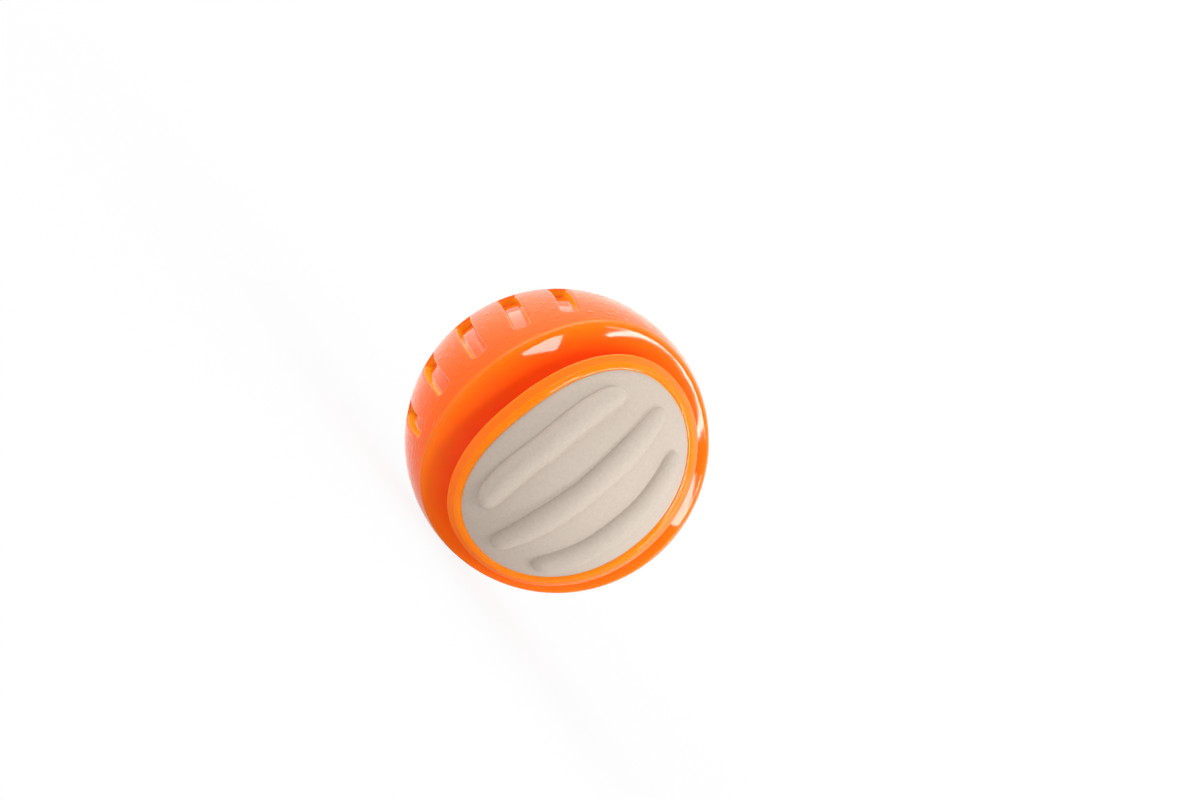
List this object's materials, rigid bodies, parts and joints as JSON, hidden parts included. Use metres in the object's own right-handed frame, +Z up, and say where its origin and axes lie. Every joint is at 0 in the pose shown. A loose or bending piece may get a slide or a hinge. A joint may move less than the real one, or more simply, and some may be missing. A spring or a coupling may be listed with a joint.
{
  "type": "dog chew ball",
  "caption": "Dog chew ball: a rubber shell with a slotted grip belt, and coved oval windows in which the ribbed domes of a hard core stand to be gnawed.",
  "frame": {"origin": "centre of the ball", "axes": "+Z up along the ribs of the windows, -Y out of the window that faces the viewer, +X to the viewer's right through the middle slot of the belt's right row"},
  "size_m": [0.0758, 0.0772, 0.076],
  "materials": {
    "shell_rubber": "matte leathery grain on the belt, glossy in the coves, on the shoulders and on the lips",
    "core_plastic": "fine sandblasted grain"
  },
  "bodies": {
    "root": {"outer_shell": "shell_rubber", "core": "core_plastic"}
  },
  "joints": []
}
